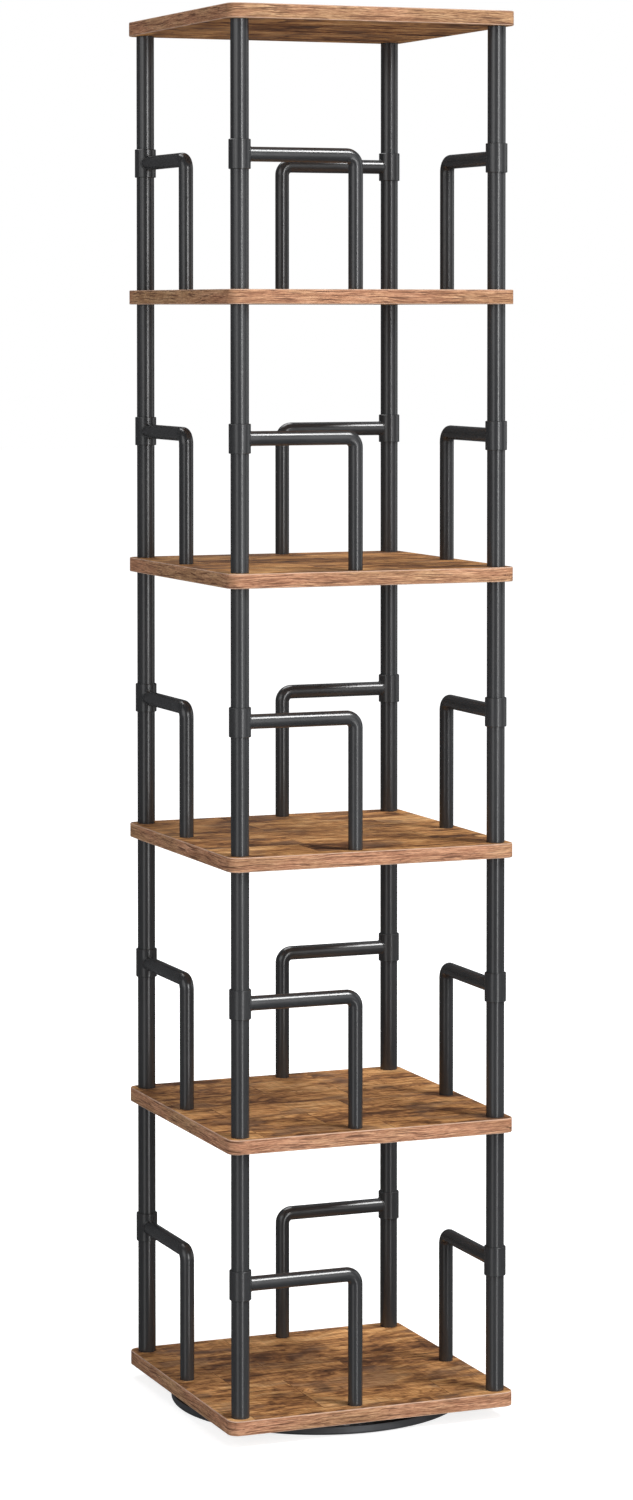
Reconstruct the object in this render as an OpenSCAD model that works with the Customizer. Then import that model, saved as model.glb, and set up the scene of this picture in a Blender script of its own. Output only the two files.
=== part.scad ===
// Rotating tower bookshelf. Square boards are stacked on four tube posts per
// tier, a bent guard rail starts from a sleeve on every post, and the tower
// turns on a ring of balls that sits in a shallow round base pan.
// Millimetres. The origin is on the floor, under the middle of the tower.

/* [Boards] */
// Side of the square boards
board_w = 336; // [280:1:480]
// Thickness of a board
board_t = 16; // [12:0.5:25]
// Corner radius of a board
board_corner_r = 12; // [8:1:40]
// Thickness of the band glued round a board's edge
band_t = 1; // [0.4:0.1:3]

/* [Tiers] */
// Number of open tiers
tiers = 5; // [2:1:5]
// Height from the top of one board to the top of the next
tier_pitch = 305; // [220:1:420]

/* [Posts] */
// Outer diameter of a post
post_d = 20; // [16:0.5:28]
// Wall of a post tube
post_wall = 1.2; // [0.8:0.1:2]
// From the board's edge to the axis of a post
post_inset = 17; // [15:0.5:40]
// Length of the threaded plug in each end of a post
post_plug_l = 14; // [8:0.5:30]

/* [Guard rails] */
// Outer diameter of a guard rail
rail_d = 16; // [10:0.5:22]
// Wall of a guard rail tube
rail_wall = 1.2; // [0.8:0.1:2]
// From the axis of the post to the axis of the rail's foot
rail_reach = 134.5; // [70:0.5:220]
// Radius on the inside of the rail's bend
rail_bend_inner_r = 3; // [1:0.5:30]
// Length of the threaded plug in the rail's foot
rail_plug_l = 12; // [8:0.5:30]
// Height of the sleeve that slides over the post
sleeve_h = 32; // [26:1:60]
// Wall of the sleeve
sleeve_wall = 1.7; // [1:0.1:3]
// Chamfer on the ends of the sleeve
sleeve_chamfer = 0.5; // [0.2:0.1:0.8]

/* [Base] */
// Thickness of the rubber pads
pad_t = 1.5; // [1:0.1:6]
// Diameter of a rubber pad
pad_d = 24; // [12:1:32]
// Number of rubber pads
pad_count = 8; // [4:1:10]
// From the edge of the pan to the middle of a pad
pad_inset = 22; // [17:0.5:30]
// From the board's edge to the edge of the base pan
pan_inset = 2.5; // [2:0.5:12]
// Height of the base pan
pan_h = 9; // [8:0.5:20]
// Sheet thickness of the base pan
pan_t = 1.5; // [1:0.1:2.5]
// Radius of the corner between the pan's floor and its rim
pan_corner_r = 3; // [2.8:0.1:5]

/* [Bearing] */
// Diameter of the circle on which the balls run
bearing_d = 240; // [180:1:260]
// Diameter of a ball
ball_d = 5; // [3:0.5:6]
// Number of balls
ball_count = 24; // [8:1:48]
// Radial width of each bearing ring
ring_w = 11.5; // [10:0.5:16]
// Radial gap between the two rings, where the cage runs
ring_gap = 1.4; // [1:0.1:2]
// Thickness of the ball cage
cage_t = 0.8; // [0.4:0.1:0.9]

/* [Fasteners] */
// Thread of the studs and bolts that hold the posts
stud_d = 8; // [5:0.5:10]
// Depth to which a stud or a bolt enters a post
stud_reach = 11; // [6:0.5:30]
// Diameter of a domed bolt's head
bolt_head_d = 14; // [11:0.5:18]
// Height of a domed bolt's head
bolt_head_h = 4.4; // [3:0.1:6]
// Width across the flats of a domed bolt's socket
bolt_socket_w = 5; // [3:0.5:6]
// Thread of the screw that holds a rail's foot
foot_screw_d = 6; // [4:0.5:6]
// Depth to which a foot screw enters the rail
foot_screw_reach = 9; // [5:0.5:30]
// Diameter of the screws that hold the bearing rings
ring_screw_d = 4; // [3:0.5:5]
// Number of screws in each bearing ring
ring_screw_count = 4; // [3:1:8]
// Depth to which the inner ring's screws enter the board
ring_screw_bite = 10; // [6:0.5:11]

/* [Clearances] */
// Between the base pan's rim and the bottom board
rim_gap = 4; // [1:0.5:6]
// Between a bearing ring and the face that it turns past
ring_run = 1; // [0.5:0.1:2]
// Round a ball in the grooves of the rings
groove_gap = 0.05; // [0.02:0.01:0.1]
// Round a ball in the cage's pocket
pocket_gap = 0.1; // [0.05:0.01:0.3]
// Above and below the cage, inside the rings
cage_gap = 0.25; // [0.1:0.05:0.4]
// Round a post in the sleeve of a guard rail
sleeve_gap = 0.3; // [0.1:0.05:1]
// Round a thread in its plug, ring or board
thread_gap = 0.05; // [0.02:0.01:0.1]
// Round a plug pressed into its tube
press_gap = 0.05; // [0.02:0.01:0.1]
// Round a stud or a screw in a hole that it only passes through
hole_gap = 0.25; // [0.1:0.05:0.6]
// Glue line between a board and its edge band
glue_gap = 0.05; // [0.02:0.01:0.2]
// Round a screw's head in the pan's hole through which it is driven
access_gap = 1.5; // [0.5:0.1:2.5]

/* [Hidden] */
$fn = 72;
// Sides of the wide rings and of the base pan
wide_fn = 180;
// How far a cut runs past the face that it opens
cut = 1;
CORNERS = ["front_left", "front_right", "back_right", "back_left"];
SIDES = ["front", "right", "back", "left"];

// Stack of heights, from the floor upwards
pan_floor_z = pad_t + pan_t;
base_h = pad_t + pan_h + rim_gap;
bearing_h = base_h - pan_floor_z;
ring_h = bearing_h - ring_run;
ball_z = pan_floor_z + bearing_h / 2;
post_l = tier_pitch - board_t;

// Places in plan
post_xy = board_w / 2 - post_inset;
pan_r = board_w / 2 - pan_inset;
pad_circle_r = pan_r - pad_inset;
ball_circle_r = bearing_d / 2;
outer_ring_in_r = ball_circle_r + ring_gap / 2;
inner_ring_in_r = ball_circle_r - ring_gap / 2 - ring_w;
outer_screw_circle_r = outer_ring_in_r + ring_w / 2;
inner_screw_circle_r = inner_ring_in_r + ring_w / 2;
// The two rings' screws stand half a step apart
screw_step = 360 / ring_screw_count;

// Sizes that follow from their neighbours
rail_z = post_l / 2;
rail_bend_r = rail_d / 2 + rail_bend_inner_r;
sleeve_bore_d = post_d + 2 * sleeve_gap;
sleeve_d = sleeve_bore_d + 2 * sleeve_wall;
cage_h = ring_h - ring_run - 2 * cage_gap;
access_hole_d = head_d(ring_screw_d) + 2 * access_gap;
bolt_socket_depth = bolt_head_h / 2;
core_w = board_w - 2 * (band_t + glue_gap);
core_corner_r = board_corner_r - band_t - glue_gap;

// Underside of a board, counted from 0 at the bottom
function board_z(n) = base_h + n * tier_pitch;
// Top of the board on which a tier stands, counted from 1
function tier_floor(t) = board_z(t - 1) + board_t;
// A countersunk head is twice as wide as its thread, with a right-angled cone
function head_d(d) = 2 * d;
function head_h(d) = d / 2;
// The six-sided recess in that head, across its corners
function recess_w(d) = 0.7 * d;
function recess_depth(d) = d / 3;

function board_name(n) =
    n == 0 ? "bottom_board" : n == tiers ? "top_board" : str("shelf_board_", n);
function post_name(t, c) = str("post_", t, "_", CORNERS[c]);
function rail_name(t, c) = str("guard_rail_", t, "_", SIDES[c]);

// Puts a thing at the post in corner c, with X pointing along its guard rail
module at_corner(c) {
    rotate([0, 0, 90 * c]) translate([-post_xy, -post_xy, 0]) children();
}

// Puts a thing at the foot of the rail that starts in corner c
module at_foot(c) {
    at_corner(c) translate([rail_reach, 0, 0]) children();
}

module at_each_corner() {
    for (c = [0 : 3]) at_corner(c) children();
}

module at_each_foot() {
    for (c = [0 : 3]) at_foot(c) children();
}

// Puts copies on a circle, the first one at the angle start
module round_circle(r, count, start = 0) {
    for (k = [0 : count - 1]) {
        rotate([0, 0, start + 360 / count * k]) translate([r, 0, 0]) children();
    }
}

module rounded_square(w, r) {
    square([w - 2 * r, w], center = true);
    square([w, w - 2 * r], center = true);
    for (a = [0 : 90 : 270]) {
        rotate(a) translate([w / 2 - r, w / 2 - r]) circle(r);
    }
}

// Tube or bored plug that stands on its end
module tube(outer_d, bore_d, h) {
    difference() {
        cylinder(h = h, d = outer_d);
        translate([0, 0, -cut]) cylinder(h = h + 2 * cut, d = bore_d);
    }
}

// Countersunk screw with its head down and its thread pointing up
module countersunk_screw(d, length) {
    difference() {
        union() {
            cylinder(h = head_h(d), d1 = head_d(d), d2 = d);
            cylinder(h = length, d = d);
        }
        translate([0, 0, -cut])
            cylinder(h = cut + recess_depth(d), d = recess_w(d), $fn = 6);
    }
}

// Hole for a countersunk screw, from the face on which the head lies upwards
module countersunk_hole(d, length, gap) {
    wide = head_d(d) + 2 * gap;
    translate([0, 0, -cut]) cylinder(h = length + cut, d = d + 2 * gap);
    cylinder(h = head_h(d), d1 = wide, d2 = d + 2 * gap);
    translate([0, 0, -cut]) cylinder(h = cut, d = wide);
}

// Shallow dish profile: a floor with a rounded corner that runs up to the rim
module dish_half(w, h, r) {
    square([w - r, h]);
    translate([0, r]) square([w, h - r]);
    translate([w - r, r]) circle(r);
}

module base_pan() {
    color("#3b3c3f")
    translate([0, 0, pad_t])
    difference() {
        rotate_extrude($fn = wide_fn) difference() {
            dish_half(pan_r, pan_h, pan_corner_r);
            translate([0, pan_t]) dish_half(pan_r - pan_t, pan_h, pan_corner_r - pan_t);
        }
        round_circle(outer_screw_circle_r, ring_screw_count)
            translate([0, 0, -cut])
            cylinder(h = pan_t + 2 * cut, d = ring_screw_d + 2 * thread_gap);
        round_circle(inner_screw_circle_r, ring_screw_count, screw_step / 2)
            translate([0, 0, -cut])
            cylinder(h = pan_t + 2 * cut, d = access_hole_d);
    }
}

module floor_pads() {
    color("#1c1c1c")
    round_circle(pad_circle_r, pad_count) cylinder(h = pad_t, d = pad_d);
}

// Flat ring with the ball groove in its edge, standing on the height z
module grooved_ring(inner_r, z) {
    rotate_extrude($fn = wide_fn) difference() {
        translate([inner_r, z]) square([ring_w, ring_h]);
        translate([ball_circle_r, ball_z]) circle(ball_d / 2 + groove_gap);
    }
}

module bearing_outer_ring() {
    color("#b9bcc0")
    difference() {
        grooved_ring(outer_ring_in_r, pan_floor_z);
        round_circle(outer_screw_circle_r, ring_screw_count)
            translate([0, 0, pan_floor_z + ring_h])
            mirror([0, 0, 1])
            countersunk_hole(ring_screw_d, ring_h + cut, thread_gap);
    }
}

module bearing_inner_ring() {
    color("#b9bcc0")
    difference() {
        grooved_ring(inner_ring_in_r, base_h - ring_h);
        round_circle(inner_screw_circle_r, ring_screw_count, screw_step / 2)
            translate([0, 0, base_h - ring_h])
            countersunk_hole(ring_screw_d, ring_h + cut, thread_gap);
    }
}

// Thin hoop between the rings, with a round pocket for each ball
module ball_cage() {
    color("#e6e2d6")
    difference() {
        translate([0, 0, ball_z - cage_h / 2])
            tube(2 * ball_circle_r + cage_t, 2 * ball_circle_r - cage_t, cage_h, $fn = wide_fn);
        round_circle(ball_circle_r, ball_count)
            translate([-ring_gap, 0, ball_z])
            rotate([0, 90, 0])
            cylinder(h = 2 * ring_gap, d = ball_d + 2 * pocket_gap);
    }
}

module bearing_balls() {
    color("#d8dadd")
    round_circle(ball_circle_r, ball_count) translate([0, 0, ball_z]) sphere(d = ball_d);
}

module outer_ring_screws() {
    color("#c9c7bd")
    round_circle(outer_screw_circle_r, ring_screw_count)
        translate([0, 0, pan_floor_z + ring_h])
        mirror([0, 0, 1])
        countersunk_screw(ring_screw_d, ring_h + pan_t);
}

module inner_ring_screws() {
    color("#c9c7bd")
    round_circle(inner_screw_circle_r, ring_screw_count, screw_step / 2)
        translate([0, 0, base_h - ring_h])
        countersunk_screw(ring_screw_d, ring_h + ring_screw_bite);
}

// Board n, with the holes that its place in the tower needs
module board(n) {
    color("#6e4a34")
    translate([0, 0, board_z(n)])
    difference() {
        linear_extrude(board_t) rounded_square(core_w, core_corner_r);
        if (n < tiers) {
            at_each_corner()
                translate([0, 0, -cut])
                cylinder(h = board_t + 2 * cut, d = stud_d + 2 * hole_gap);
            at_each_foot() countersunk_hole(foot_screw_d, board_t + cut, hole_gap);
        } else {
            at_each_corner()
                translate([0, 0, board_t])
                mirror([0, 0, 1])
                countersunk_hole(stud_d, board_t + cut, hole_gap);
        }
        if (n == 0) {
            round_circle(inner_screw_circle_r, ring_screw_count, screw_step / 2)
                translate([0, 0, -cut])
                cylinder(h = ring_screw_bite + 2 * cut, d = ring_screw_d + 2 * thread_gap);
        }
    }
}

// One band round each board
module edge_bands() {
    color("#b58562")
    for (n = [0 : tiers]) {
        translate([0, 0, board_z(n)]) linear_extrude(board_t) difference() {
            rounded_square(board_w, board_corner_r);
            rounded_square(board_w - 2 * band_t, board_corner_r - band_t);
        }
    }
}

module post(t, c) {
    color("#2c2c2e")
    at_corner(c)
    translate([0, 0, tier_floor(t)])
    tube(post_d, post_d - 2 * post_wall, post_l);
}

// Two plugs in every post, flush with its ends
module post_plugs() {
    plug_d = post_d - 2 * (post_wall + press_gap);
    color("#a9abae")
    for (t = [1 : tiers], z = [0, post_l - post_plug_l]) {
        at_each_corner()
            translate([0, 0, tier_floor(t) + z])
            tube(plug_d, stud_d + 2 * thread_gap, post_plug_l);
    }
}

// Studs through the boards that have a post above and below
module board_studs() {
    color("#a9abae")
    for (n = [1 : tiers - 1]) {
        at_each_corner()
            translate([0, 0, board_z(n) - stud_reach])
            cylinder(h = board_t + 2 * stud_reach, d = stud_d);
    }
}

// Bolt with a domed head above the height 0 and its thread pointing down
module domed_bolt(length) {
    dome_r = (pow(bolt_head_d / 2, 2) + pow(bolt_head_h, 2)) / (2 * bolt_head_h);
    difference() {
        union() {
            rotate_extrude() intersection() {
                translate([0, bolt_head_h - dome_r]) circle(dome_r);
                square([bolt_head_d / 2, bolt_head_h]);
            }
            translate([0, 0, -length]) cylinder(h = length, d = stud_d);
        }
        translate([0, 0, bolt_head_h - bolt_socket_depth])
            cylinder(h = bolt_socket_depth + cut, d = bolt_socket_w / cos(30), $fn = 6);
    }
}

// Domed bolts through the bottom board from below, and flush ones through the top board
module post_bolts() {
    length = board_t + stud_reach;
    color("#202022")
    at_each_corner() {
        translate([0, 0, board_z(0)]) mirror([0, 0, 1]) domed_bolt(length);
        translate([0, 0, board_z(tiers) + board_t]) mirror([0, 0, 1]) countersunk_screw(stud_d, length);
    }
}

// Tube along the rail's path, from the distance start out to its foot
module rail_path(r, start, foot_z) {
    straight_end = rail_reach - rail_bend_r;
    bend_z = rail_z - rail_bend_r;
    translate([start, 0, rail_z])
        rotate([0, 90, 0])
        cylinder(h = straight_end - start, r = r);
    translate([straight_end, 0, bend_z])
        rotate([90, 0, 0])
        rotate_extrude(angle = 90)
        translate([rail_bend_r, 0])
        circle(r);
    translate([rail_reach, 0, foot_z]) cylinder(h = bend_z - foot_z, r = r);
}

// Sleeve over the post, with chamfered ends, before it is bored
module sleeve_blank() {
    r = sleeve_d / 2;
    e = sleeve_chamfer;
    rotate_extrude() polygon([
        [0, 0], [r - e, 0], [r, e], [r, sleeve_h - e], [r - e, sleeve_h], [0, sleeve_h]
    ]);
}

// Sleeve and bent rail, welded together
module guard_rail(t, c) {
    color("#2c2c2e")
    at_corner(c)
    translate([0, 0, tier_floor(t)])
    difference() {
        union() {
            translate([0, 0, rail_z - sleeve_h / 2]) sleeve_blank();
            rail_path(rail_d / 2, 0, 0);
        }
        translate([0, 0, rail_z - sleeve_h / 2 - cut])
            cylinder(h = sleeve_h + 2 * cut, d = sleeve_bore_d);
        rail_path(rail_d / 2 - rail_wall, sleeve_d / 2, -cut);
    }
}

// One plug in the foot of every rail
module foot_plugs() {
    plug_d = rail_d - 2 * (rail_wall + press_gap);
    color("#a9abae")
    for (t = [1 : tiers]) {
        at_each_foot()
            translate([0, 0, tier_floor(t)])
            tube(plug_d, foot_screw_d + 2 * thread_gap, rail_plug_l);
    }
}

// Screws from below each board into the rails that stand on it
module foot_screws() {
    color("#c9c7bd")
    for (t = [1 : tiers]) {
        at_each_foot()
            translate([0, 0, board_z(t - 1)])
            countersunk_screw(foot_screw_d, board_t + foot_screw_reach);
    }
}

base_pan();
floor_pads();
bearing_outer_ring();
bearing_inner_ring();
ball_cage();
bearing_balls();
outer_ring_screws();
inner_ring_screws();
edge_bands();
post_plugs();
board_studs();
post_bolts();
foot_plugs();
foot_screws();
for (n = [0 : tiers]) {
    board(n);
}
for (t = [1 : tiers], c = [0 : 3]) {
    post(t, c);
    guard_rail(t, c);
}
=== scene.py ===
"""Looks of the rotating bookshelf: rustic boards with tan edge bands, charcoal tubes and a dark base."""
import math

import bmesh
import bpy
from mathutils import Matrix, Vector


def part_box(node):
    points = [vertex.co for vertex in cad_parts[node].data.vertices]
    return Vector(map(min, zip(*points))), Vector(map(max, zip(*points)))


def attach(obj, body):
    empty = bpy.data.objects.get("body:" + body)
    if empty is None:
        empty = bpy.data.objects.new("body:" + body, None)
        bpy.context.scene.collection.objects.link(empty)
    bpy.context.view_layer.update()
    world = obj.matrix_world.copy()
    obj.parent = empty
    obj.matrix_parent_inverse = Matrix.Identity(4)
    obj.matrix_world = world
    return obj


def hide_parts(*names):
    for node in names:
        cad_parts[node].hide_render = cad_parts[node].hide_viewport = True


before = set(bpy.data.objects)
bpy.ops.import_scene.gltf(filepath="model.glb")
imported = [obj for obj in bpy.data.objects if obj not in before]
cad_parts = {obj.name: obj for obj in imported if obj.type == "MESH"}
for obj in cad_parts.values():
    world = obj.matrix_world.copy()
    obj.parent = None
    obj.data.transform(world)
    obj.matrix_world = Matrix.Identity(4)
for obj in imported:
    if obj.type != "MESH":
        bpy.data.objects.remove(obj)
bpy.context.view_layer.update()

# Names of the repeated pieces, as the frame has them
SIDES = ["front", "right", "back", "left"]
CORNERS = ["front_left", "front_right", "back_right", "back_left"]
BOARDS = ["bottom_board", "shelf_board_1", "shelf_board_2", "shelf_board_3", "shelf_board_4", "top_board"]
TIERS = range(1, len(BOARDS))
BEARING_RINGS = ["bearing_outer_ring", "bearing_inner_ring"]
RING_SCREWS = ["outer_ring_screws", "inner_ring_screws"]
FASTENERS = ["post_plugs", "board_studs", "foot_plugs", "foot_screws", *RING_SCREWS]

# Driving sizes in metres, those that the frame's boxes don't tell
BOARD_CORNER_R = 0.012
BAND_THICKNESS = 0.001
ARRIS_R = 0.0009
WELD_R = 0.0008

# How finely the new pieces are rounded, and the angle up to which their faces are shaded as one
CORNER_SEGMENTS = 14
ARRIS_SEGMENTS = 3
WELD_SEGMENTS_ALONG, WELD_SEGMENTS_ROUND = 56, 12
SMOOTH_ANGLE = math.radians(35)

# Differences below this length count as none, in metres
NEAR = 0.0001

# The photograph's frame in pixels, and the camera fitted to the boards and posts, in pixels and metres
IMAGE_W, IMAGE_H = 633, 1500
SENSOR_MM = 36.0
FOCAL_PX = 4016.3
PRINCIPAL_X, PRINCIPAL_Y = 317.18, 452.30
CAMERA_TURN = math.radians(21.944)
CAMERA_PITCH = math.radians(2.0)
CAMERA_DISTANCE = 4.5042
CAMERA_HEIGHT = 1.2253

# Sheet of laminate from which the boards are cut: its planks and the seams between them, the share of a
# plank by which every third row is moved along, and the share to which every second row's planks are cut
PLANK_L, PLANK_W, SEAM_W = 0.21, 0.062, 0.0005
ROW_SHIFT, SHIFTED_ROWS = 0.41, 3
SHORT_PLANK, SHORT_ROWS = 0.72, 2

# How far the cut moves on along and across the planks for each metre of height, how far apart in the wood
# the darkest and the palest plank are cut, and how closely the growth rings follow on each other
SHEET_STEP_X, SHEET_STEP_Y = 1.73, 0.91
GRAIN_STEP = 3.7
RING_COUNT = 23.0

# Colours of the laminate, from the dark of its worn patches to its palest wood, and of its marks
BOARD_BROWNS = [
    (0.34, (0.070, 0.033, 0.018)),
    (0.42, (0.190, 0.088, 0.039)),
    (0.48, (0.400, 0.198, 0.079)),
    (0.54, (0.570, 0.298, 0.117)),
    (0.64, (0.720, 0.440, 0.210)),
]
BOARD_WORN_GREY = (0.190, 0.120, 0.082)
CRACK_BROWN = (0.030, 0.016, 0.010)
KNOT_BROWN = (0.038, 0.019, 0.011)
SEAM_BROWN = (0.034, 0.018, 0.011)

# Colours of the edge band, from its dark grain to its pale grain, and of its lines and pores, how far its
# grain rises and falls in metres, and the colours of its trimmed arris: its paler core, made paler still
# as a painted highlight
BAND_TANS = [
    (0.35, (0.220, 0.104, 0.058)),
    (0.43, (0.345, 0.174, 0.098)),
    (0.50, (0.465, 0.250, 0.144)),
    (0.57, (0.580, 0.338, 0.202)),
    (0.66, (0.710, 0.452, 0.290)),
]
BAND_LINE_BROWN = (0.120, 0.052, 0.030)
BAND_PORE_BROWN = (0.055, 0.025, 0.016)
BAND_GRAIN_LIFT = 0.007
ARRIS_TANS_AND_HIGHLIGHT = [(0.3, (0.40, 0.25, 0.17)), (0.6, (0.66, 0.44, 0.32))]

# Studio: the floor's width and grey, how brightly it glows near the shelf and further out, the radii
# between which the one goes over into the other, the grey surround, and the white backdrop
FLOOR_W = 60.0
FLOOR_GREY = (0.52, 0.52, 0.52)
FLOOR_GLOW_NEAR, FLOOR_GLOW_FAR = 0.82, 1.0
FLOOR_NEAR_R, FLOOR_FAR_R = 0.4, 2.5
SURROUND_GREY = (0.11, 0.11, 0.113)
WHITE = (1, 1, 1)

# Soft lights: name, azimuth from the front and elevation in degrees, distance from the point at which it
# aims, its width and height in metres, its radiance, and the height of that point on the tower's axis
SOFTBOXES = [
    ("key", 39, 52, 10.0, (2.8, 3.1), 27.5, 0.8),
    ("front_strip", 6, 0, 3.6, (0.60, 2.0), 10.0, 1.9),
    ("front_strip_middle", 6, 0, 3.6, (0.60, 1.0), 6.0, 0.4),
    ("front_strip_low", 6, 0, 3.6, (0.60, 1.4), 4.0, -0.8),
    ("front_wide", 27, 0, 3.6, (1.3, 2.6), 0.85, 1.5),
    ("left_fill", -54, 0, 3.6, (1.5, 2.8), 1.2, 1.4),
    ("left_fill_low", -54, 0, 3.6, (1.5, 1.4), 0.8, -0.7),
    ("high_left_fill", -75, 25, 4.2, (2.8, 2.8), 1.2, 0.8),
    ("right_fill", 85, 5, 4.0, (2.6, 2.8), 0.7, 1.4),
    ("high_back_fill", 180, 60, 4.2, (2.6, 2.6), 4.0, 0.8),
]


def middle_of(node):
    """Middle of a CAD node's box."""
    low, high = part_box(node)
    return (low + high) / 2


def extent_of(node):
    """Size of a CAD node's box along each axis."""
    low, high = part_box(node)
    return high - low


class Finish:
    """A node material under construction, with short calls for the nodes that the finishes share."""

    def __init__(self, name):
        self.material = bpy.data.materials.new(name)
        self.material.use_nodes = True
        self.tree = self.material.node_tree
        self.shader = self.tree.nodes["Principled BSDF"]
        self.coords = self.tree.nodes.new("ShaderNodeTexCoord").outputs["Object"]

    def put(self, socket, value):
        """Links an output to the socket, or sets the number or colour on it."""
        if isinstance(value, bpy.types.NodeSocket):
            self.tree.links.new(value, socket)
        elif hasattr(value, "__len__") and len(value) == 3 and socket.type == "RGBA":
            socket.default_value = (*value, 1)
        else:
            socket.default_value = value

    def set(self, **values):
        """Sets inputs of the shader, with _ for the spaces in their names."""
        for name, value in values.items():
            self.put(self.shader.inputs[name.replace("_", " ")], value)

    def math(self, operation, a, b=0.0):
        """One step of arithmetic on one or two numbers."""
        node = self.tree.nodes.new("ShaderNodeMath")
        node.operation = operation
        self.put(node.inputs[0], a)
        self.put(node.inputs[1], b)
        return node.outputs[0]

    def split(self, vector):
        """The three parts of a vector."""
        node = self.tree.nodes.new("ShaderNodeSeparateXYZ")
        self.put(node.inputs[0], vector)
        return node.outputs

    def join(self, x, y, z):
        """A vector made of three parts."""
        node = self.tree.nodes.new("ShaderNodeCombineXYZ")
        for socket, value in zip(node.inputs, (x, y, z)):
            self.put(socket, value)
        return node.outputs[0]

    def radius(self):
        """Distance from the turning axis."""
        x, y, z = self.split(self.coords)
        squares = self.math("ADD", self.math("MULTIPLY", x, x), self.math("MULTIPLY", y, y))
        return self.math("SQRT", squares)

    def stretch(self, vector, scale):
        """Multiplies each part of a vector by that of the scale."""
        node = self.tree.nodes.new("ShaderNodeVectorMath")
        node.operation = "MULTIPLY"
        self.put(node.inputs[0], vector)
        self.put(node.inputs[1], scale)
        return node.outputs[0]

    def noise(self, vector, scale, detail=2.0, roughness=0.5, distortion=0.0):
        """Noise whose grain is as many times finer along each axis as scale says, per metre."""
        node = self.tree.nodes.new("ShaderNodeTexNoise")
        self.put(node.inputs["Vector"], self.stretch(vector, scale))
        self.put(node.inputs["Scale"], 1.0)
        self.put(node.inputs["Detail"], detail)
        self.put(node.inputs["Roughness"], roughness)
        self.put(node.inputs["Distortion"], distortion)
        return node.outputs[0]

    def spots(self, vector, scale):
        """Distance to the nearest of scattered points."""
        node = self.tree.nodes.new("ShaderNodeTexVoronoi")
        self.put(node.inputs["Vector"], self.stretch(vector, scale))
        self.put(node.inputs["Scale"], 1.0)
        return node.outputs["Distance"]

    def span(self, value, low, high, to_low=0.0, to_high=1.0):
        """Maps the range low to high smoothly onto another, clamped."""
        node = self.tree.nodes.new("ShaderNodeMapRange")
        node.interpolation_type = "SMOOTHSTEP"
        for socket, number in zip(node.inputs, (value, low, high, to_low, to_high)):
            self.put(socket, number)
        return node.outputs[0]

    def ramp(self, value, stops):
        """Colours at given places along a value."""
        node = self.tree.nodes.new("ShaderNodeValToRGB")
        elements = node.color_ramp.elements
        while len(elements) < len(stops):
            elements.new(0.5)
        for element, (place, colour) in zip(elements, stops):
            element.position = place
            element.color = (*colour, 1)
        self.put(node.inputs[0], value)
        return node.outputs[0]

    def mix(self, share, a, b, blend="MIX"):
        """Blends from colour a to colour b by a share from 0 to 1."""
        node = self.tree.nodes.new("ShaderNodeMix")
        node.data_type = "RGBA"
        node.blend_type = blend
        # The sockets for colours are inputs 6 and 7 and output 2
        self.put(node.inputs[0], share)
        self.put(node.inputs[6], a)
        self.put(node.inputs[7], b)
        return node.outputs[2]

    def tint(self, colour, share, value, stops):
        """Multiplies a colour by colours at given places along a value."""
        return self.mix(share, colour, self.ramp(value, stops), "MULTIPLY")

    def bump(self, height, distance, strength):
        """A surface normal that follows a height, with its full height in metres given as distance."""
        node = self.tree.nodes.new("ShaderNodeBump")
        self.put(node.inputs["Strength"], strength)
        self.put(node.inputs["Distance"], distance)
        self.put(node.inputs["Height"], height)
        return node.outputs[0]


def plank_layout(f, sheet):
    """Random tone of each plank and the seams between them, on planks that run along X."""
    planks = f.tree.nodes.new("ShaderNodeTexBrick")
    planks.offset, planks.offset_frequency = ROW_SHIFT, SHIFTED_ROWS
    planks.squash, planks.squash_frequency = SHORT_PLANK, SHORT_ROWS
    f.put(planks.inputs["Vector"], sheet)
    # A plank's tone lies anywhere between the first two colours, and the third is that of the seams
    f.put(planks.inputs["Color1"], (0, 0, 0))
    f.put(planks.inputs["Color2"], (1, 1, 1))
    f.put(planks.inputs["Mortar"], (0.5, 0.5, 0.5))
    f.put(planks.inputs["Scale"], 1.0)
    f.put(planks.inputs["Mortar Size"], SEAM_W)
    f.put(planks.inputs["Mortar Smooth"], 0.6)
    f.put(planks.inputs["Brick Width"], PLANK_L)
    f.put(planks.inputs["Row Height"], PLANK_W)
    return f.split(planks.outputs["Color"])[0], planks.outputs["Fac"]


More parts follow.
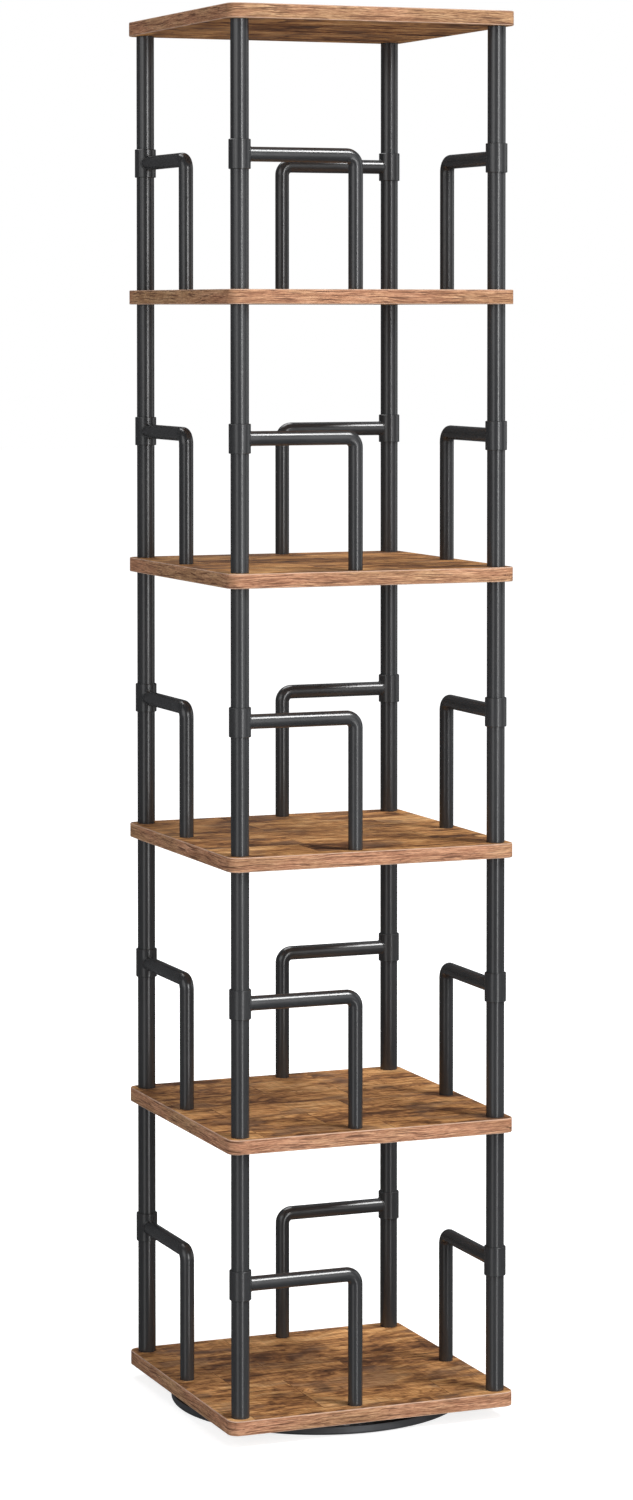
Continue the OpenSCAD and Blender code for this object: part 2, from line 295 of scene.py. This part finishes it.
def board_finish():
    """Rustic laminate: short planks of unlike brown, with worn patches, cracks, knots and saw marks."""
    f = Finish("rustic_board_laminate")
    x, y, z = f.split(f.coords)
    # Every board, and either face of it, is cut from another place of the sheet
    sheet_x = f.math("ADD", x, f.math("MULTIPLY", z, SHEET_STEP_X))
    sheet_y = f.math("ADD", y, f.math("MULTIPLY", z, SHEET_STEP_Y))
    sheet = f.join(sheet_x, sheet_y, 0.0)
    tone, seam = plank_layout(f, sheet)
    # Each plank has its own stretch of grain
    grain = f.join(sheet_x, sheet_y, f.math("MULTIPLY", tone, GRAIN_STEP))

    # Knots, in some places only, with the growth rings closing round them
    knot = f.spots(grain, (8.0, 19.0, 1.0))
    knotty = f.span(f.noise(grain, (5.0, 9.0, 1.0), detail=1.0), 0.47, 0.55)
    figure = f.noise(grain, (3.5, 19.0, 1.0), detail=3.0, roughness=0.5, distortion=0.6)
    swell = f.math("MULTIPLY", knotty, f.span(knot, 0.0, 0.42, to_low=0.30, to_high=0.0))
    rings = f.math("PINGPONG", f.math("MULTIPLY", f.math("ADD", figure, swell), RING_COUNT), 1.0)
    heart = f.math("MULTIPLY", knotty, f.span(knot, 0.04, 0.15, to_low=1.0, to_high=0.0))

    fibres = f.noise(grain, (30.0, 760.0, 1.0), detail=3.0, roughness=0.62)
    wear = f.noise(grain, (12.0, 26.0, 1.0), detail=4.0, roughness=0.6, distortion=0.4)
    mottle = f.noise(grain, (48.0, 105.0, 1.0), detail=4.0, roughness=0.62, distortion=0.9)
    cloud = f.noise(grain, (14.0, 22.0, 1.0), detail=3.0, roughness=0.55)
    split_grain = f.noise(grain, (9.0, 170.0, 1.0), detail=4.0, roughness=0.62, distortion=0.3)
    cracks = f.span(split_grain, 0.31, 0.38, to_low=1.0, to_high=0.0)
    saw = f.noise(grain, (300.0, 11.0, 1.0), detail=2.0, roughness=0.5)

    uneven = f.math("ADD", f.math("MULTIPLY", wear, 0.58), f.math("MULTIPLY", mottle, 0.42))
    shade = f.math("ADD", uneven, f.math("MULTIPLY", f.math("SUBTRACT", tone, 0.5), 0.10))
    body = f.ramp(shade, BOARD_BROWNS)
    greyed = f.mix(f.span(cloud, 0.52, 0.64, to_low=0.0, to_high=0.55), body, BOARD_WORN_GREY)
    ringed = f.tint(greyed, 0.8, rings, [(0.0, (0.50, 0.43, 0.38)), (0.45, (1.07, 1.05, 1.03))])
    sawn = f.tint(ringed, 0.45, saw, [(0.38, (0.76, 0.74, 0.72)), (0.56, (1.08, 1.08, 1.08))])
    fibred = f.tint(sawn, 0.8, fibres, [(0.34, (0.60, 0.54, 0.49)), (0.60, (1.17, 1.16, 1.14))])
    cracked = f.mix(f.math("MULTIPLY", cracks, 0.85), fibred, CRACK_BROWN)
    knotted = f.mix(f.math("MULTIPLY", heart, 0.85), cracked, KNOT_BROWN)
    seamed = f.mix(f.math("MULTIPLY", seam, 0.7), knotted, SEAM_BROWN)

    height = f.math("SUBTRACT", f.math("MULTIPLY", fibres, 0.5), f.math("ADD", cracks, seam))
    f.set(
        Base_Color=seamed,
        Roughness=f.span(wear, 0.3, 0.7, to_low=0.58, to_high=0.70),
        Specular_IOR_Level=0.12,
        Normal=f.bump(height, 0.0001, strength=0.5),
    )
    return f.material


def band_grain(f):
    """Object coordinates in which the level grain of the bands rises and falls a little on its way."""
    x, y, z = f.split(f.coords)
    lift = f.noise(f.coords, (16.0, 16.0, 5.0), detail=2.0, roughness=0.5)
    return f.join(x, y, f.math("ADD", z, f.math("MULTIPLY", lift, BAND_GRAIN_LIFT)))


def band_finish():
    """Reddish tan edge band: fine broken grain lines, dark pores and slow changes of tone."""
    f = Finish("tan_edge_band")
    run = band_grain(f)
    streaks = f.noise(run, (46.0, 46.0, 1050.0), detail=4.0, roughness=0.62, distortion=0.12)
    bands = f.noise(run, (15.0, 15.0, 330.0), detail=3.0, roughness=0.55)
    fine = f.noise(run, (150.0, 150.0, 1900.0), detail=2.0, roughness=0.6)
    lines = f.noise(run, (28.0, 28.0, 820.0), detail=2.0, roughness=0.5)
    pores = f.noise(run, (95.0, 95.0, 640.0), detail=2.0, roughness=0.6)
    figure = f.math("ADD", f.math("MULTIPLY", streaks, 0.64), f.math("MULTIPLY", bands, 0.36))
    body = f.ramp(figure, BAND_TANS)
    drift = f.noise(f.coords, (9.0, 9.0, 30.0), detail=2.0, roughness=0.5)
    tinted = f.tint(body, 1.0, drift, [(0.38, (0.96, 1.01, 0.93)), (0.62, (1.05, 0.98, 0.99))])
    fibred = f.tint(tinted, 0.8, fine, [(0.34, (0.58, 0.52, 0.48)), (0.60, (1.18, 1.17, 1.15))])
    lined = f.mix(f.span(lines, 0.37, 0.43, to_low=0.85, to_high=0.0), fibred, BAND_LINE_BROWN)
    dark = f.span(pores, 0.28, 0.34, to_low=0.90, to_high=0.0)
    pored = f.mix(dark, lined, BAND_PORE_BROWN)
    f.set(
        Base_Color=pored,
        Roughness=f.span(fine, 0.3, 0.7, to_low=0.55, to_high=0.66),
        Specular_IOR_Level=0.2,
        Normal=f.bump(f.math("SUBTRACT", fine, dark), 0.00008, strength=0.5),
    )
    return f.material


def arris_and_highlight_finish():
    """The band's trimmed arris: its paler core, made paler still as a painted highlight along the edge.
    """
    f = Finish("trimmed_band_arris_painted_highlight")
    fine = f.noise(band_grain(f), (55.0, 55.0, 1300.0), detail=3.0, roughness=0.6)
    f.set(
        # The pale colour is partly the trimmed core and partly a painted highlight along the arris
        Base_Color=f.ramp(fine, ARRIS_TANS_AND_HIGHLIGHT),
        Roughness=0.6,
        Specular_IOR_Level=0.2,
    )
    return f.material


def coat_finish(name, dark, light, roughness):
    """Satin powder coat: a fine orange peel and a slight unevenness of tone and gloss."""
    f = Finish(name)
    cloud = f.noise(f.coords, (18.0, 18.0, 6.0), detail=3.0, roughness=0.5)
    peel = f.noise(f.coords, (900.0, 900.0, 900.0), detail=2.0, roughness=0.5)
    grit = f.noise(f.coords, (2600.0, 2600.0, 2600.0), detail=1.0, roughness=0.5)
    body = f.ramp(cloud, [(0.35, dark), (0.65, light)])
    speckled = f.tint(body, 0.35, grit, [(0.35, (0.7, 0.7, 0.7)), (0.65, (1.25, 1.25, 1.25))])
    f.set(
        Base_Color=speckled,
        Roughness=f.span(cloud, 0.3, 0.7, to_low=roughness - 0.02, to_high=roughness + 0.03),
        Specular_IOR_Level=0.65,
        Normal=f.bump(peel, 0.00002, strength=0.04),
    )
    return f.material


def metal_finish(name, colour, roughness, rings=False):
    """Bare or plated metal with fine machining marks, round the axis for turned pieces."""
    f = Finish(name)
    if rings:
        round_axis = f.join(f.radius(), 0.0, f.split(f.coords)[2])
        marks = f.noise(round_axis, (3500.0, 1.0, 900.0), detail=2.0, roughness=0.6)
    else:
        marks = f.noise(f.coords, (700.0, 700.0, 2400.0), detail=2.0, roughness=0.6)
    low = tuple(0.8 * c for c in colour)
    f.set(
        Base_Color=f.ramp(marks, [(0.35, low), (0.65, colour)]),
        Metallic=1.0,
        Roughness=f.span(marks, 0.3, 0.7, to_low=roughness - 0.05, to_high=roughness + 0.07),
        Normal=f.bump(marks, 0.00002, strength=0.3),
    )
    return f.material


def plain_finish(name, colour, roughness, grit_per_m):
    """Moulded rubber or nylon with a fine matt texture."""
    f = Finish(name)
    grit = f.noise(f.coords, (grit_per_m,) * 3, detail=2.0, roughness=0.5)
    low = tuple(0.85 * c for c in colour)
    f.set(
        Base_Color=f.ramp(grit, [(0.35, low), (0.65, colour)]),
        Roughness=roughness,
        Normal=f.bump(grit, 0.00004, strength=0.4),
    )
    return f.material


def dress(node, material):
    """Gives a CAD node one material all over."""
    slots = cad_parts[node].data.materials
    slots.clear()
    slots.append(material)


def start_piece():
    """Nothing selected, in object mode, so that the next operators act on the new piece alone."""
    if bpy.context.object and bpy.context.object.mode != "OBJECT":
        bpy.ops.object.mode_set(mode="OBJECT")
    bpy.ops.object.select_all(action="DESELECT")


def pick(piece, kind, wanted):
    """Selects the edges or faces in edit mode for which wanted says yes, and nothing else."""
    mesh = bmesh.from_edit_mesh(piece.data)
    bpy.ops.mesh.select_all(action="DESELECT")
    for item in getattr(mesh, kind):
        item.select_set(wanted(item))
    mesh.select_flush_mode()
    bmesh.update_edit_mesh(piece.data)


def place_in_mesh(piece):
    """Moves the piece's place from its object into its mesh, and shades its round faces smooth."""
    bpy.ops.object.mode_set(mode="OBJECT")
    bpy.ops.object.transform_apply(location=True, rotation=True, scale=True)
    bpy.ops.object.shade_smooth_by_angle(angle=SMOOTH_ANGLE)
    return piece


def copy_piece(piece, name, matrix):
    """A copy with its own mesh, moved by the matrix."""
    twin = piece.copy()
    twin.data = piece.data.copy()
    twin.name = twin.data.name = name
    twin.data.transform(matrix)
    bpy.context.collection.objects.link(twin)
    return twin


def model_band(width, height, face_material, arris_highlight_material):
    """A band round a board that stands on z = 0: a thin wall with round corners and rounded arrises."""
    half = height / 2
    start_piece()
    bpy.ops.mesh.primitive_cube_add(size=width, location=(0, 0, half))
    band = bpy.context.object
    band.data.materials.append(face_material)
    band.data.materials.append(arris_highlight_material)

    def upright(edge):
        return abs(edge.verts[0].co.z - edge.verts[1].co.z) > half

    def level(face):
        return abs(face.normal.z) > 0.5

    bpy.ops.object.mode_set(mode="EDIT")
    bpy.ops.transform.resize(value=(1, 1, height / width))
    bpy.ops.mesh.select_mode(type="EDGE")
    pick(band, "edges", upright)
    bpy.ops.mesh.bevel(offset=BOARD_CORNER_R, segments=CORNER_SEGMENTS, affect="EDGES")
    bpy.ops.mesh.select_mode(type="FACE")
    pick(band, "faces", level)
    bpy.ops.mesh.delete(type="FACE")
    bpy.ops.object.mode_set(mode="OBJECT")
    wall = band.modifiers.new("wall", "SOLIDIFY")
    wall.thickness = BAND_THICKNESS
    wall.offset = -1
    wall.use_even_offset = True
    bpy.ops.object.modifier_apply(modifier=wall.name)
    bpy.ops.object.mode_set(mode="EDIT")
    bpy.ops.mesh.select_mode(type="EDGE")

    def outer_arris(edge):
        at_the_end = all(abs(abs(v.co.z) - half) < NEAR for v in edge.verts)
        walls = [face for face in edge.link_faces if not level(face)]
        if not at_the_end or len(walls) != 1:
            return False
        middle = walls[0].calc_center_median()
        return walls[0].normal.x * middle.x + walls[0].normal.y * middle.y > 0

    pick(band, "edges", outer_arris)
    # The rounded arrises take the second material: the paler trimmed core with a painted highlight
    bpy.ops.mesh.bevel(offset=ARRIS_R, segments=ARRIS_SEGMENTS, affect="EDGES", material=1)
    return place_in_mesh(band)


def model_weld(rail_r, sleeve_r, material):
    """The weld between a rail along +X and a sleeve on the Z axis: a bead along their saddle."""
    start_piece()
    bpy.ops.mesh.primitive_torus_add(
        major_radius=rail_r,
        minor_radius=WELD_R,
        major_segments=WELD_SEGMENTS_ALONG,
        minor_segments=WELD_SEGMENTS_ROUND,
        location=(sleeve_r, 0, 0),
        rotation=(0, math.pi / 2, 0),
    )
    weld = bpy.context.object
    weld.data.materials.append(material)
    place_in_mesh(weld)
    # Each point goes in as far as the sleeve's round wall does there
    for v in weld.data.vertices:
        v.co.x -= sleeve_r - math.sqrt(sleeve_r**2 - v.co.y**2)
    return weld


# Finishes
board_wood = board_finish()
band_wood = band_finish()
arris_with_highlight = arris_and_highlight_finish()
frame_coat = coat_finish(
    "charcoal_powder_coat",
    dark=(0.030, 0.031, 0.033),
    light=(0.037, 0.038, 0.040),
    roughness=0.235,
)
pan_coat = coat_finish(
    "dark_grey_powder_coat",
    dark=(0.044, 0.046, 0.050),
    light=(0.056, 0.058, 0.063),
    roughness=0.42,
)
bolt_coat = coat_finish(
    "black_bolt_finish",
    dark=(0.016, 0.016, 0.017),
    light=(0.024, 0.024, 0.026),
    roughness=0.30,
)
ring_metal = metal_finish("turned_aluminium", (0.72, 0.73, 0.75), roughness=0.32, rings=True)
zinc_metal = metal_finish("bright_zinc_plate", (0.62, 0.62, 0.60), roughness=0.30)
ball_metal = metal_finish("polished_ball_steel", (0.80, 0.81, 0.83), roughness=0.12)
cage_nylon = plain_finish("natural_nylon", (0.80, 0.77, 0.68), roughness=0.5, grit_per_m=1400.0)
pad_rubber = plain_finish("black_pad_rubber", (0.022, 0.022, 0.022), roughness=0.8, grit_per_m=1800.0)


def dress_frame():
    """Gives every CAD node its finish."""
    for board in BOARDS:
        dress(board, board_wood)
    for tier in TIERS:
        for corner in CORNERS:
            dress(f"post_{tier}_{corner}", frame_coat)
        for side in SIDES:
            dress(f"guard_rail_{tier}_{side}", frame_coat)
    for node in FASTENERS:
        dress(node, zinc_metal)
    for node in BEARING_RINGS:
        dress(node, ring_metal)
    dress("base_pan", pan_coat)
    dress("post_bolts", bolt_coat)
    dress("bearing_balls", ball_metal)
    dress("ball_cage", cage_nylon)
    dress("floor_pads", pad_rubber)
    dress("edge_bands", band_wood)


def add_bands():
    """An edge band round each board, in place of the frame's bands with their sharp arrises."""
    blank = model_band(extent_of("edge_bands").x, extent_of("bottom_board").z, band_wood, arris_with_highlight)
    for board in BOARDS:
        band = copy_piece(blank, f"{board}_band", Matrix.Translation((0, 0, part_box(board)[0].z)))
        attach(band, "tower")
        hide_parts("edge_bands")
    bpy.data.objects.remove(blank)


def add_welds():
    """A weld bead between each guard rail and its sleeve, sized from the frame's first rail."""
    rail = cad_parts["guard_rail_1_front"]
    rail_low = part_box("guard_rail_1_front")[0]
    # The sleeve on the post is the rail's leftmost part, and the foot is the end of the rail's tube
    sleeve_r = middle_of("post_1_front_left").x - rail_low.x
    foot_xs = [v.co.x for v in rail.data.vertices if v.co.z < rail_low.z + NEAR]
    rail_r = (max(foot_xs) - min(foot_xs)) / 2
    blank = model_weld(rail_r, sleeve_r, frame_coat)
    for tier in TIERS:
        for k, (corner, side) in enumerate(zip(CORNERS, SIDES)):
            post_middle = middle_of(f"post_{tier}_{corner}")
            place = Matrix.Translation(post_middle) @ Matrix.Rotation(math.pi / 2 * k, 4, "Z")
            weld = copy_piece(blank, f"rail_weld_{tier}_{side}", place)
            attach(weld, "tower")
    bpy.data.objects.remove(blank)


def make_floor():
    """Pale floor that takes the shelf's soft shadow and goes over into the white backdrop further out."""
    start_piece()
    bpy.ops.mesh.primitive_plane_add(size=FLOOR_W, location=(0, 0, 0))
    floor = bpy.context.object
    floor.name = "studio_floor"
    f = Finish("pale_floor")
    away = f.radius()
    glow = f.span(away, FLOOR_NEAR_R, FLOOR_FAR_R, to_low=FLOOR_GLOW_NEAR, to_high=FLOOR_GLOW_FAR)
    seen = f.tree.nodes.new("ShaderNodeLightPath").outputs["Is Camera Ray"]
    f.set(
        Base_Color=FLOOR_GREY,
        Roughness=0.9,
        Specular_IOR_Level=0.1,
        Emission_Color=WHITE,
        Emission_Strength=f.math("MULTIPLY", seen, glow),
    )
    # Seen from below, the floor is clear and leaves the shelf's underside in view
    below = f.tree.nodes.new("ShaderNodeNewGeometry").outputs["Backfacing"]
    clear = f.tree.nodes.new("ShaderNodeBsdfTransparent").outputs[0]
    choose = f.tree.nodes.new("ShaderNodeMixShader")
    for socket, value in zip(choose.inputs, (below, f.shader.outputs[0], clear)):
        f.put(socket, value)
    f.put(f.tree.nodes["Material Output"].inputs["Surface"], choose.outputs[0])
    floor.data.materials.append(f.material)
    # The tubes and the rims don't mirror the floor, and the front strips that they mirror reach below it
    floor.visible_glossy = False
    floor.visible_shadow = False


def add_softbox(name, azimuth, elevation, distance, size, radiance, aim_z):
    """An area light that aims at the tower's axis, with azimuth 0 in front and 90 on the right."""
    light = bpy.data.lights.new(name, "AREA")
    light.shape = "RECTANGLE"
    light.size, light.size_y = size
    # The power in watts that gives a lamp of this size its radiance
    light.energy = radiance * math.pi * size[0] * size[1]
    lamp = bpy.data.objects.new(name, light)
    turn, rise = math.radians(azimuth), math.radians(elevation)
    away = Vector((math.sin(turn) * math.cos(rise), -math.cos(turn) * math.cos(rise), math.sin(rise)))
    lamp.location = Vector((0, 0, aim_z)) + distance * away
    lamp.rotation_euler = away.to_track_quat("Z", "Y").to_euler()
    lamp.visible_camera = False
    bpy.context.collection.objects.link(lamp)


def make_world():
    """White to the camera, and a dim grey surround for light and reflections."""
    world = bpy.data.worlds.new("studio")
    bpy.context.scene.world = world
    world.use_nodes = True
    tree = world.node_tree
    background = tree.nodes["Background"]
    background.inputs["Color"].default_value = (*SURROUND_GREY, 1)
    backdrop = tree.nodes.new("ShaderNodeBackground")
    backdrop.inputs["Color"].default_value = (*WHITE, 1)
    path = tree.nodes.new("ShaderNodeLightPath")
    choose = tree.nodes.new("ShaderNodeMixShader")
    tree.links.new(path.outputs["Is Camera Ray"], choose.inputs[0])
    tree.links.new(background.outputs[0], choose.inputs[1])
    tree.links.new(backdrop.outputs[0], choose.inputs[2])
    tree.links.new(choose.outputs[0], tree.nodes["World Output"].inputs["Surface"])


def make_camera():
    """Camera at the photograph's viewing angle, shifted as far as the photograph's frame asks."""
    data = bpy.data.cameras.new("camera")
    data.sensor_width = SENSOR_MM
    data.lens = FOCAL_PX / IMAGE_H * SENSOR_MM
    data.shift_x = ((IMAGE_W - 1) / 2 - PRINCIPAL_X) / IMAGE_H
    data.shift_y = (PRINCIPAL_Y - (IMAGE_H - 1) / 2) / IMAGE_H
    camera = bpy.data.objects.new("camera", data)
    camera.location = (
        -CAMERA_DISTANCE * math.sin(CAMERA_TURN),
        -CAMERA_DISTANCE * math.cos(CAMERA_TURN),
        CAMERA_HEIGHT,
    )
    camera.rotation_euler = (math.pi / 2 - CAMERA_PITCH, 0, -CAMERA_TURN)
    bpy.context.collection.objects.link(camera)
    bpy.context.scene.camera = camera


dress_frame()
add_bands()
add_welds()
make_floor()
make_world()
make_camera()
for softbox in SOFTBOXES:
    add_softbox(*softbox)
bpy.context.scene.view_settings.view_transform = "Standard"
